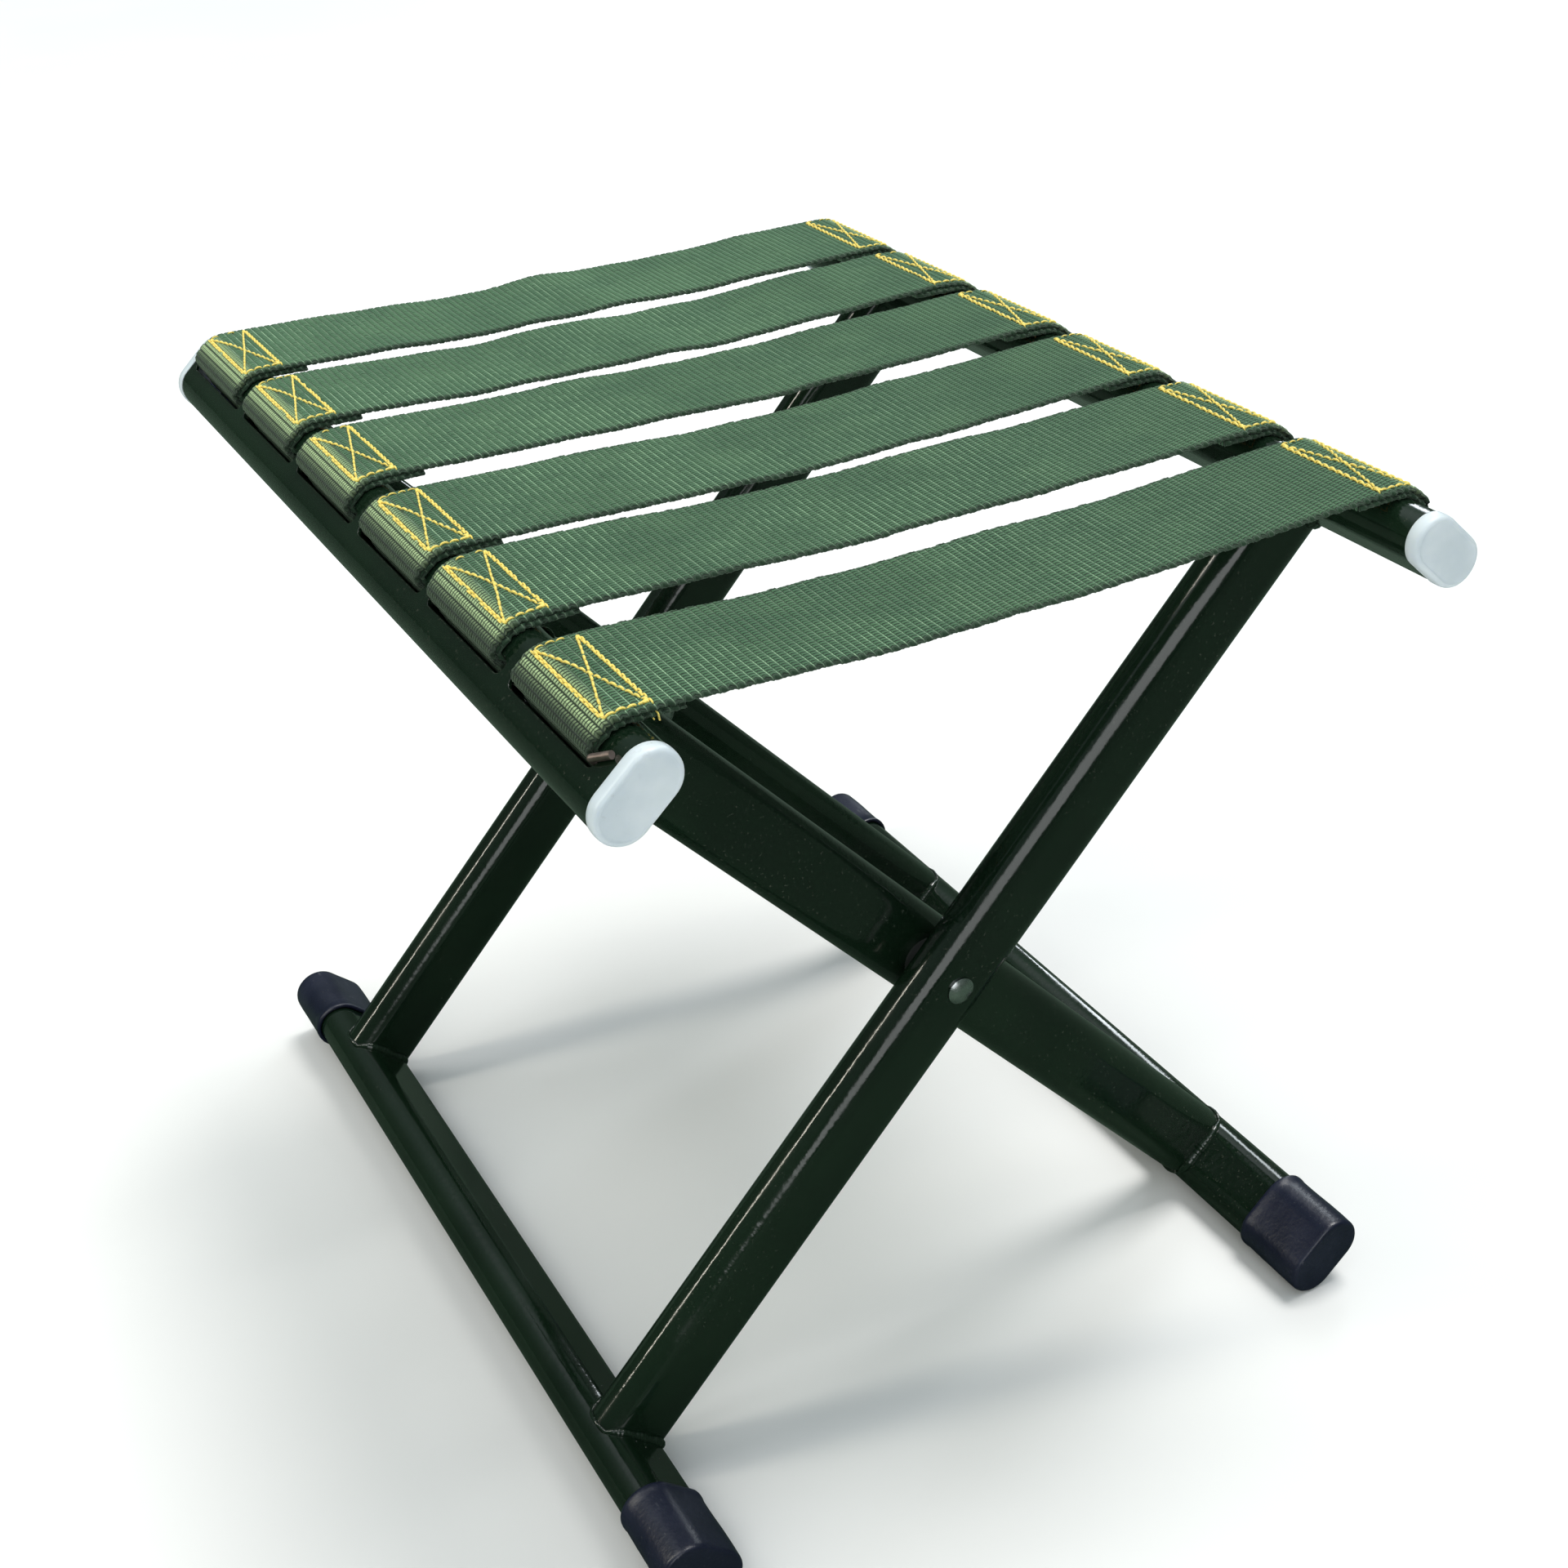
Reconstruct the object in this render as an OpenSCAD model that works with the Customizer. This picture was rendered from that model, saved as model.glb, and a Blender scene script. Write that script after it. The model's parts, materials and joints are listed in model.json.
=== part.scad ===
// Folding camp stool: two crossing frames of flat-oval steel tube, riveted where the
// legs cross, with six webbing straps stretched between the two top rails.
// X runs across the seat from rail to rail, Y along the rails with the rear at +Y, Z up.
// The origin is on the floor under the middle of the stool. The stool is drawn open,
// with the inner frame's rail at -X and the outer frame's rail at +X.

/* [Stance] */
// Tilt of each leg frame from vertical with the stool open, in degrees
leg_tilt = 42.7; // [39:0.1:46]
// Distance along a leg from the pivot rivet to the centre of the top rail
pivot_to_rail = 199; // [180:1:230]
// Distance along a leg from the pivot rivet to the centre of the foot bar
pivot_to_foot = 195; // [175:1:230]
// Distance from the middle of the stool to the centre of an inner leg
inner_leg_y = 102.5; // [80:0.5:106]
// Width of the gap between an inner leg and the outer leg beside it
leg_gap = 4; // [2:0.5:8]

/* [Tube] */
// Long side of the flat-oval tube
tube_w = 29; // [27:0.5:31]
// Short side of the flat-oval tube
tube_t = 17; // [15:0.5:18]
// Wall thickness of the tube
tube_wall = 1.2; // [1:0.1:1.5]
// Length of each top rail without its end plugs
rail_len = 371; // [368:1:420]
// Length of each foot bar without its end caps
foot_len = 359; // [340:1:380]
// How far each foot bar sits off the middle of its legs, along its length
foot_shift = 5; // [0:0.5:8]
// How far a leg end is scarfed around the bar it is welded to
cope_depth = 3; // [1:0.5:4]
// Radius of a weld bead
weld_r = 2; // [1:0.1:2.5]

/* [Webbing] */
// Width of one seat strap
strap_w = 50; // [44:1:50]
// Thickness of the webbing
strap_t = 1.8; // [1.2:0.1:2]
// Distance from one strap to the next
strap_pitch = 61; // [60:0.1:61]
// Shift of the whole set of straps towards the rear
strap_shift = 2; // [0:0.5:2]
// Length of the folded-back strap tail that is sewn down, from the top of the rail
tail_len = 17; // [14:1:30]
// Clearance between webbing and tube
strap_gap = 0.1; // [0.05:0.05:0.2]
// Width of the slot in the rail that the strap loop passes through
slot_w = 5.2; // [4.8:0.1:6]
// Length of that slot
slot_len = 55; // [54.5:0.5:56]
// Diameter of the steel rod inside the rail that holds the strap loops
rod_d = 2.4; // [2:0.1:2.6]
// Twice the distance from the middle of the rail to the straight end of the rod
rod_len = 360; // [358:1:362]

/* [Plugs and caps] */
// Thickness of the visible flange of a rail end plug
plug_flange = 5; // [3:0.5:8]
// How much larger than the tube the plug flange is, on each side
plug_lip = 0.3; // [0:0.1:1.5]
// Length of the plug body inside the tube
plug_body = 14; // [8:1:20]
// Length of a foot cap over the tube
cap_cover = 27; // [18:1:34]
// Wall thickness of a foot cap
cap_wall = 1.6; // [1.2:0.1:2.5]
// Thickness of the closed end of a foot cap
cap_end = 3.5; // [2:0.5:6]

/* [Pivot] */
// Diameter of the pivot rivet shank
rivet_d = 6; // [5:0.5:7]
// Diameter of the rivet's domed head
rivet_head_d = 9.6; // [9:0.1:13]
// Height of the rivet's domed head
rivet_head_h = 2.2; // [1.5:0.1:3]
// Diameter of the spacer between the two legs
spacer_d = 17; // [12:1:22]
// Diameter of the washer under the formed rivet end
washer_d = 14; // [12:0.5:20]
// Thickness of that washer
washer_t = 1.2; // [1:0.1:1.6]
// Radial running clearance in the pivot bores
pivot_clear = 0.05; // [0.03:0.01:0.08]

/* [Hidden] */
$fn = 64;
eps = 0.02; // hairline gap between touching pieces
past = 1; // how far a cutter runs past the surface it opens
lap = 1; // how far joined parts of one piece run into each other

outer_leg_y = inner_leg_y + tube_t + leg_gap;
flat_half = (tube_w - tube_t) / 2; // tube centre to the centre of a rounded side
// the underside of the foot caps rests on the floor
pivot_z = pivot_to_foot * cos(leg_tilt) + flat_half * sin(leg_tilt) + tube_t / 2 + cap_wall;

weld_out = 0.4; // bead centre line outside the leg's surface
weld_off = 0.2; // bead centre line off the face of the bar

strap_count = 6;
// centre of the inner rail's upper rounded side, in the XZ plane
round_x = -pivot_to_rail * sin(leg_tilt) + flat_half * cos(leg_tilt);
round_z = pivot_z + pivot_to_rail * cos(leg_tilt) + flat_half * sin(leg_tilt);
// inner and outer radius of the doubled webbing round the rail
wrap_in = tube_t / 2 + strap_gap;
wrap_out = wrap_in + 2 * strap_t;
wedge_reach = 30; // size of the wedge that trims the fold, beyond wrap_out
// inner and outer radius of the strap loop round the rod
loop_in = rod_d / 2 + 0.1;
loop_out = loop_in + strap_t;

rod_gap = 0.05; // clearance of the bent rod end from slot and rail
rod_tail_angle = -54.5; // direction of the bent-over tail, from X towards Y
inner_rod_tail = 7.4;
outer_rod_tail = 4.6;

plug_fit = 0.05; // clearance of the plug body on each side
plug_hollow_in = 2; // hollow of the plug, inside the tube's bore on each side
plug_solid = 3; // solid length of the plug body at the flange
plug_open_w = 10; // width of the plug's opening on the slot side

face_gap = 0.03; // gap between a leg and the pivot part against it
pivot_bore_r = rivet_d / 2 + pivot_clear;
shank_lap = 0.5; // shank running into each rivet head
head_rim = 0.6; // straight rim under each dome
formed_extra_d = 0.6; // formed end wider than the domed head
formed_h_ratio = 0.8; // formed end's height against the domed head's

frame_color = "#1d3325";
weld_color = "#22382a";
rod_color = "#a8928c";
plug_color = "#e6edf5";
cap_color = "#23263a";
rivet_color = "#b9bec2";
spacer_color = "#2a2d2b";
webbing_color = "#3f6b4c";

// Y of a strap; number 1 is the rearmost
function strap_y(number) = strap_shift + ((strap_count + 1) / 2 - number) * strap_pitch;

// ---- placement ----
// Each frame is drawn upright round its pivot: X across the tube section, + towards the
// middle of the stool at the rail, Y along the rail, Z up the leg. Then it is tilted and
// set at the height of the pivot. The outer frame is turned, so its own +Y faces the front.
module inner_at() translate([0, 0, pivot_z]) rotate([0, -leg_tilt, 0]) children();
module outer_at() rotate([0, 0, 180]) inner_at() children();
// pivot axis with Z pointing outward from the middle; side is 1 for rear, -1 for front
module pivot_at(side) translate([0, 0, pivot_z]) rotate([-90 * side, 0, 0]) children();

// ---- tube sections ----
// outline of the tube, long side along X, grown on every side
module oval(grow = 0) {
  thickness = tube_t + 2 * grow;
  union() {
    square([2 * flat_half, thickness], center = true);
    for (s = [-1, 1]) translate([s * flat_half, 0]) circle(d = thickness);
  }
}
// solid bar along Y
module bar_y(length, grow = 0) {
  rotate([90, 0, 0]) linear_extrude(height = length, center = true) oval(grow);
}
// solid bar along Z
module bar_z(bottom, top, grow = 0) {
  translate([0, 0, bottom]) linear_extrude(height = top - bottom) oval(grow);
}
// cutter that fits a leg or a weld bead to a rail or foot bar
module cope_cut() bar_y(3 * tube_t, eps);

// ---- frame parts ----
// obround cutter through the upper wall of a rail, long side along Y
module slot_cut() {
  end_r = slot_w / 2;
  end_y = slot_len / 2 - end_r;
  union() {
    translate([-end_r, -end_y, 0]) cube([slot_w, slot_len - slot_w, tube_t]);
    for (s = [-1, 1]) translate([0, s * end_y, 0]) cylinder(r = end_r, h = tube_t);
  }
}
// y_sign is -1 for the turned outer frame, so that its slots meet the straps
module rail(y_sign) {
  translate([0, 0, pivot_to_rail]) difference() {
    bar_y(rail_len);
    bar_y(rail_len + 2 * past, -tube_wall);
    for (i = [1:strap_count]) translate([0, y_sign * strap_y(i), 0]) slot_cut();
  }
}
module foot_bar() {
  translate([0, foot_shift, -pivot_to_foot]) difference() {
    bar_y(foot_len);
    bar_y(foot_len + 2 * past, -tube_wall);
  }
}
// leg tube centred at y, its ends scarfed round the rail and the foot bar
module leg(y) {
  top = pivot_to_rail - tube_t / 2 + cope_depth;
  bottom = -pivot_to_foot + tube_t / 2 - cope_depth;
  translate([0, y, 0]) difference() {
    bar_z(bottom, top);
    bar_z(bottom - past, top + past, -tube_wall);
    for (z = [pivot_to_rail, -pivot_to_foot]) translate([0, 0, z]) cope_cut();
    rotate([90, 0, 0]) cylinder(r = pivot_bore_r, h = 3 * tube_t, center = true);
  }
}
// ring of weld round a leg, lying flat
module bead() {
  centre_r = tube_t / 2 + weld_out;
  difference() {
    union() {
      for (s = [-1, 1]) translate([0, s * centre_r, 0]) rotate([0, 90, 0])
        cylinder(r = weld_r, h = 2 * flat_half, center = true, $fn = 32);
      for (turn = [0, 180]) rotate([0, 0, turn]) translate([flat_half, 0, 0])
        rotate([0, 0, -90]) rotate_extrude(angle = 180, $fn = 64)
          translate([centre_r, 0]) circle(r = weld_r, $fn = 32);
    }
    bar_z(-5, 5, eps);
  }
}
// beads at both ends of the two legs at +y and -y
module weld_beads(y) {
  // height of the bar, direction from the bar to the pivot
  joints = [[pivot_to_rail, -1], [-pivot_to_foot, 1]];
  for (s = [-1, 1]) for (joint = joints) difference() {
    translate([0, s * y, joint[0] + joint[1] * (tube_t / 2 + weld_off)]) bead();
    translate([0, s * y, joint[0]]) cope_cut();
  }
}
// rod through the six strap loops; its -Y end is bent up through the slot at slot_y
// and over the rail
module strap_rod(slot_y, tail) {
  bend_y = slot_y - slot_len / 2 + rod_d / 2 + rod_gap;
  over_z = tube_t / 2 + rod_d / 2 + rod_gap;
  translate([0, bend_y, pivot_to_rail]) {
    rotate([-90, 0, 0]) cylinder(d = rod_d, h = rod_len / 2 - bend_y, $fn = 32);
    cylinder(d = rod_d, h = over_z, $fn = 32);
    sphere(d = rod_d, $fn = 32);
    translate([0, 0, over_z]) sphere(d = rod_d, $fn = 32);
    translate([0, 0, over_z]) rotate([0, 0, rod_tail_angle]) rotate([0, 90, 0])
      cylinder(d = rod_d, h = tail, $fn = 32);
  }
}
// plug in the +Y end of a rail
module plug() {
  hollow_h = plug_body - plug_solid + past;
  translate([0, rail_len / 2, pivot_to_rail]) rotate([-90, 0, 0]) {
    translate([0, 0, eps]) linear_extrude(height = plug_flange) oval(plug_lip);
    translate([0, 0, -plug_body]) difference() {
      linear_extrude(height = plug_body + lap) oval(-tube_wall - plug_fit);
      translate([0, 0, -past]) linear_extrude(height = hollow_h)
        oval(-tube_wall - plug_hollow_in);
      // open on the slot side, where the last strap loop passes
      translate([-plug_open_w / 2, -tube_t, -past]) cube([plug_open_w, tube_t, hollow_h]);
    }
  }
}
// cap over the +Y end of a foot bar whose middle is at bar_y
module foot_cap(bar_y) {
  translate([0, foot_len / 2 + bar_y, -pivot_to_foot]) rotate([-90, 0, 0]) difference() {
    translate([0, 0, -cap_cover]) linear_extrude(height = cap_cover + cap_end) oval(cap_wall);
    translate([0, 0, -cap_cover - past]) linear_extrude(height = cap_cover + past + eps)
      oval(eps);
  }
}

// ---- pivot parts ----
// shallow dome on the plane z = 0: a slice of a ball over a short rim
module dome(d, h) {
  crown_h = h - head_rim;
  ball_r = (d * d / 4 + crown_h * crown_h) / (2 * crown_h);
  cylinder(d = d, h = head_rim);
  intersection() {
    translate([0, 0, head_rim + crown_h - ball_r]) sphere(r = ball_r, $fn = 96);
    translate([0, 0, head_rim - 0.01]) cylinder(d = d, h = crown_h + past);
  }
}
// domed head outside the outer leg, flatter formed end inside the inner leg
module rivet(side) {
  formed_z = inner_leg_y - tube_t / 2 - washer_t - face_gap - eps;
  head_z = outer_leg_y + tube_t / 2 + face_gap;
  pivot_at(side) {
    translate([0, 0, formed_z - shank_lap])
      cylinder(d = rivet_d, h = head_z - formed_z + 2 * shank_lap);
    translate([0, 0, head_z]) dome(rivet_head_d, rivet_head_h);
    translate([0, 0, formed_z]) mirror([0, 0, 1])
      dome(rivet_head_d + formed_extra_d, rivet_head_h * formed_h_ratio);
  }
}
module ring(d, h) {
  difference() {
    cylinder(d = d, h = h);
    translate([0, 0, -past]) cylinder(r = pivot_bore_r, h = h + 2 * past);
  }
}
// distance piece between the two legs
module spacer(side) {
  pivot_at(side) translate([0, 0, inner_leg_y + tube_t / 2 + face_gap])
    ring(spacer_d, leg_gap - 2 * face_gap);
}
// washer on the face of the inner leg towards the middle of the stool
module washer(side) {
  pivot_at(side) translate([0, 0, inner_leg_y - tube_t / 2 - washer_t - face_gap])
    ring(washer_d, washer_t);
}

// ---- seat straps ----
// Edge profile of a strap at the -X rail, with the profile's Y upward: the fold over the
// rail, down into the slot and round the rod, and the sewn-down tail
module strap_end() {
  translate([0, pivot_z]) rotate(leg_tilt) translate([0, pivot_to_rail]) difference() {
    union() {
      // fold round the rounded side, from the flat face to the top of the rail
      translate([flat_half, 0]) intersection() {
        difference() {
          circle(r = wrap_out);
          circle(r = wrap_in);
        }
        polygon([[0, 0], [0, wedge_reach], [wedge_reach * tan(leg_tilt), wedge_reach]]);
      }
      // along the flat face, then down through the slot to the loop
      translate([-strap_t, wrap_in]) square([flat_half + strap_t, 2 * strap_t]);
      translate([-strap_t, 0]) square([2 * strap_t, wrap_in + strap_t]);
      circle(r = loop_out);
    }
    circle(r = loop_in);
  }
  // tail and span together
  translate([round_x - lap, round_z + wrap_in + eps])
    square([tail_len + lap, 2 * strap_t - 2 * eps]);
}
module seat_strap(number) {
  color(webbing_color) translate([0, strap_y(number), 0]) rotate([90, 0, 0])
    linear_extrude(height = strap_w, center = true) union() {
      strap_end();
      mirror([1, 0]) strap_end();
      translate([round_x + lap, round_z + wrap_in + strap_t])
        square([-2 * (round_x + lap), strap_t - eps]);
    }
}

// ---- inner frame ----
module inner_rail() color(frame_color) inner_at() rail(1);
module inner_leg_front() color(frame_color) inner_at() leg(-inner_leg_y);
module inner_leg_rear() color(frame_color) inner_at() leg(inner_leg_y);
module inner_foot_bar() color(frame_color) inner_at() foot_bar();
module inner_weld_beads() color(weld_color) inner_at() weld_beads(inner_leg_y);
module inner_strap_rod() color(rod_color) inner_at() strap_rod(strap_y(6), inner_rod_tail);
module inner_plug_front() color(plug_color) inner_at() mirror([0, 1, 0]) plug();
module inner_plug_rear() color(plug_color) inner_at() plug();
module inner_cap_front() color(cap_color) inner_at() mirror([0, 1, 0]) foot_cap(-foot_shift);
module inner_cap_rear() color(cap_color) inner_at() foot_cap(foot_shift);

// ---- outer frame ----
module outer_rail() color(frame_color) outer_at() rail(-1);
module outer_leg_front() color(frame_color) outer_at() leg(outer_leg_y);
module outer_leg_rear() color(frame_color) outer_at() leg(-outer_leg_y);
module outer_foot_bar() color(frame_color) outer_at() foot_bar();
module outer_weld_beads() color(weld_color) outer_at() weld_beads(outer_leg_y);
module outer_strap_rod() color(rod_color) outer_at() strap_rod(-strap_y(1), outer_rod_tail);
module outer_plug_front() color(plug_color) outer_at() plug();
module outer_plug_rear() color(plug_color) outer_at() mirror([0, 1, 0]) plug();
module outer_cap_front() color(cap_color) outer_at() foot_cap(foot_shift);
module outer_cap_rear() color(cap_color) outer_at() mirror([0, 1, 0]) foot_cap(-foot_shift);

// ---- pivot hardware ----
module pivot_rivet_front() color(rivet_color) rivet(-1);
module pivot_rivet_rear() color(rivet_color) rivet(1);
module pivot_spacer_front() color(spacer_color) spacer(-1);
module pivot_spacer_rear() color(spacer_color) spacer(1);
module pivot_washer_front() color(rivet_color) washer(-1);
module pivot_washer_rear() color(rivet_color) washer(1);

inner_rail();
inner_leg_front();
inner_leg_rear();
inner_foot_bar();
inner_weld_beads();
inner_strap_rod();
inner_plug_front();
inner_plug_rear();
inner_cap_front();
inner_cap_rear();
outer_rail();
outer_leg_front();
outer_leg_rear();
outer_foot_bar();
outer_weld_beads();
outer_strap_rod();
outer_plug_front();
outer_plug_rear();
outer_cap_front();
outer_cap_rear();
pivot_rivet_front();
pivot_rivet_rear();
pivot_spacer_front();
pivot_spacer_rear();
pivot_washer_front();
pivot_washer_rear();
seat_strap(1);  // seat_strap_1
seat_strap(2);  // seat_strap_2
seat_strap(3);  // seat_strap_3
seat_strap(4);  // seat_strap_4
seat_strap(5);  // seat_strap_5
seat_strap(6);  // seat_strap_6
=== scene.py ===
"""Looks of a folding camp stool: woven straps, stitching, welds, plugs, caps, finishes.

The stool stands open on z = 0 with +Z up. Its two tilted frames cross at a pivot that runs along Y.
The inner frame's seat rail lies at -X and the outer frame's at +X; the front is at -Y.
Six straps span the rails along X, numbered from the rear. Geometry is worked out in mm and
scaled to metres in mesh_object; materials and lights are in metres.
"""
import json
import math

import bmesh
import bpy
import numpy as np
from mathutils import Matrix, Vector

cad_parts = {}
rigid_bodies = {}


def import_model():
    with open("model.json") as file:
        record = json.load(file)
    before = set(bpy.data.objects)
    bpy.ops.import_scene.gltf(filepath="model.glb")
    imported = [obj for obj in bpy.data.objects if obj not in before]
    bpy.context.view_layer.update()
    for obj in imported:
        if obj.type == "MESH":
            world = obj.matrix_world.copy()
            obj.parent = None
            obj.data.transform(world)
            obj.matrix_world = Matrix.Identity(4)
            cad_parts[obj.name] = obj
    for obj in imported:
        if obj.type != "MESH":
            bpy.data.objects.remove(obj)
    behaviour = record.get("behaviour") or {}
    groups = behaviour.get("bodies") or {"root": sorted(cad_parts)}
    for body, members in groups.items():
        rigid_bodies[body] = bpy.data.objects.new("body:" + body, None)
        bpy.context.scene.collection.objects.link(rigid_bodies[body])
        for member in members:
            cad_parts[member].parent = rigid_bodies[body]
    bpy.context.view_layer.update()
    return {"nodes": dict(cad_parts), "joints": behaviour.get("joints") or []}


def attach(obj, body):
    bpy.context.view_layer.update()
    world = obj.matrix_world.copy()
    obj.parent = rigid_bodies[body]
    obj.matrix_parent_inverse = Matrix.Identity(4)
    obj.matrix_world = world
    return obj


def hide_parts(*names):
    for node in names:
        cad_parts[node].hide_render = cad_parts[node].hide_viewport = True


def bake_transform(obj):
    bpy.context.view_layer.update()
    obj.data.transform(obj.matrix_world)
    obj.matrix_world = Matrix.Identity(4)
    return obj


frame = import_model()
RNG = np.random.default_rng(7)
MM = 0.001

# ---------------------------------------------------------------- driving sizes, mm
joint = frame["joints"][0]
PIVOT_Z = joint["pos_m"][2] / MM
FOLD = math.radians(joint["range_deg"][1])
TILT = math.radians(42.7)               # lean of each frame from upright
PIVOT_TO_RAIL, PIVOT_TO_FOOT = 199.0, 195.0
TUBE_W, TUBE_T = 29.0, 17.0             # flat-oval tube
FLAT = (TUBE_W - TUBE_T) / 2            # half of its flat side
LEG_Y = {"inner": 102.5, "outer": 123.5}
RAIL_LENGTH, FOOT_LENGTH = 371.0, 359.0
FOOT_SHIFT = 5.0                        # foot bar's offset along the frame's own Y

# centre of the inner rail's upper rounded side
ROUND_X = -PIVOT_TO_RAIL * math.sin(TILT) + FLAT * math.cos(TILT)
ROUND_Z = PIVOT_Z + PIVOT_TO_RAIL * math.cos(TILT) + FLAT * math.sin(TILT)

STRAP_T = 1.8
STRAP_HALF_W = 25.0
STRAP_PITCH = 61.0
R_TAIL = TUBE_T / 2 + 0.1 + STRAP_T / 2  # centre line of the lower (tail) layer on the rail
R_OUTER = R_TAIL + STRAP_T               # centre line of the layer over it
TAIL = 17.0                              # free length of the tail under the span
RIB_PITCH = 2.60                         # one weft rib
YARN = 1.45                              # one warp yarn
SOFT_X = 121.5                           # |x| inside which the span can sag; fold_weights works out its fold share there too

# per strap, from strap 1: creep along the rail (+Y) at each rail, and sag at mid-span
CREEP_INNER = [1.3, 2.9, 3.9, -0.1, 4.9, -0.2]
CREEP_OUTER = [1.4, 5.5, 5.1, 3.3, 2.9, 1.3]
SAG = [2.2, 3.2, 2.6, 3.0, 2.4, 3.4]
SLOT_PLAY = 2.1                          # most creep the rail slots allow


def strap_y(i):
    return 2.0 + (3.5 - i) * STRAP_PITCH


def local_to_world(points, side=1):
    """(n, 3) points in a frame's own upright axes to the world, mm; side -1 is the outer frame."""
    c, s = math.cos(TILT), math.sin(TILT)
    x = points[..., 0] * c - points[..., 2] * s
    z = PIVOT_Z + points[..., 0] * s + points[..., 2] * c
    y = points[..., 1]
    if side < 0:
        x, y = -x, -y
    return np.stack([x, y, z], -1)


# ---------------------------------------------------------------- mesh helpers
def mesh_object(name, verts, faces, smooth=True):
    """verts (n, 3) in mm; faces a list of index lists or an (m, 4) array."""
    mesh = bpy.data.meshes.new(name)
    coords = np.asarray(verts, np.float64) * MM
    if isinstance(faces, np.ndarray):
        count, corners = faces.shape
        mesh.vertices.add(len(coords))
        mesh.vertices.foreach_set("co", coords.astype(np.float32).ravel())
        mesh.loops.add(count * corners)
        mesh.loops.foreach_set("vertex_index", faces.astype(np.int32).ravel())
        mesh.polygons.add(count)
        starts = np.arange(0, count * corners, corners, dtype=np.int32)
        mesh.polygons.foreach_set("loop_start", starts)
        mesh.polygons.foreach_set("loop_total", np.full(count, corners, np.int32))
        mesh.update(calc_edges=True)
        mesh.validate()
    else:
        mesh.from_pydata(coords.tolist(), [], faces)
        mesh.update()
    if smooth:
        mesh.polygons.foreach_set("use_smooth", np.ones(len(mesh.polygons), bool))
    obj = bpy.data.objects.new(name, mesh)
    bpy.context.scene.collection.objects.link(obj)
    return obj


def ring_mesh(rings, closed=False):
    """Skins rings (k, n, 3): capped at both ends, or joined into a loop when closed."""
    rings = np.asarray(rings, float)
    k, n, _ = rings.shape
    faces = []
    for a in range(k if closed else k - 1):
        b = (a + 1) % k
        for j in range(n):
            j2 = (j + 1) % n
            faces.append([a * n + j, a * n + j2, b * n + j2, b * n + j])
    if not closed:
        faces.append(list(range(n))[::-1])
        faces.append([(k - 1) * n + j for j in range(n)])
    return rings.reshape(-1, 3), faces


class Shells:
    """Gathers many small closed shells into one mesh."""

    def __init__(self):
        self.parts, self.faces, self.count = [], [], 0

    def add(self, verts, faces):
        self.parts.append(verts)
        self.faces.extend([[i + self.count for i in face] for face in faces])
        self.count += len(verts)

    def verts(self):
        return np.vstack(self.parts)


def tube_rings(path, radius, sides):
    """Rings round a polyline; radius is a number or one per point."""
    radius = np.broadcast_to(np.asarray(radius, float), (len(path),))
    tangent = np.gradient(path, axis=0)
    tangent /= np.linalg.norm(tangent, axis=1)[:, None]
    across = np.cross(tangent, [0.0, 0.0, 1.0])
    upright = np.linalg.norm(across, axis=1) < 1e-3
    across[upright] = np.cross(tangent[upright], [0.0, 1.0, 0.0])
    across /= np.linalg.norm(across, axis=1)[:, None]
    over = np.cross(across, tangent)
    th = np.linspace(0, 2 * np.pi, sides + 1)[:-1]
    return path[:, None, :] + radius[:, None, None] * (
        np.cos(th)[None, :, None] * across[:, None, :]
        + np.sin(th)[None, :, None] * over[:, None, :]
    )


def stadium(width, thick, inset=0.0, n=24):
    """Flat-oval outline moved inwards by inset, with n points on each half round."""
    r = max(thick / 2 - inset, 0.01)
    flat = (width - thick) / 2
    th = np.linspace(-np.pi / 2, np.pi / 2, n)
    right = np.stack([flat + r * np.cos(th), r * np.sin(th)], -1)
    left = np.stack([-flat - r * np.cos(th), -r * np.sin(th)], -1)
    return np.vstack([right, left])


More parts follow.
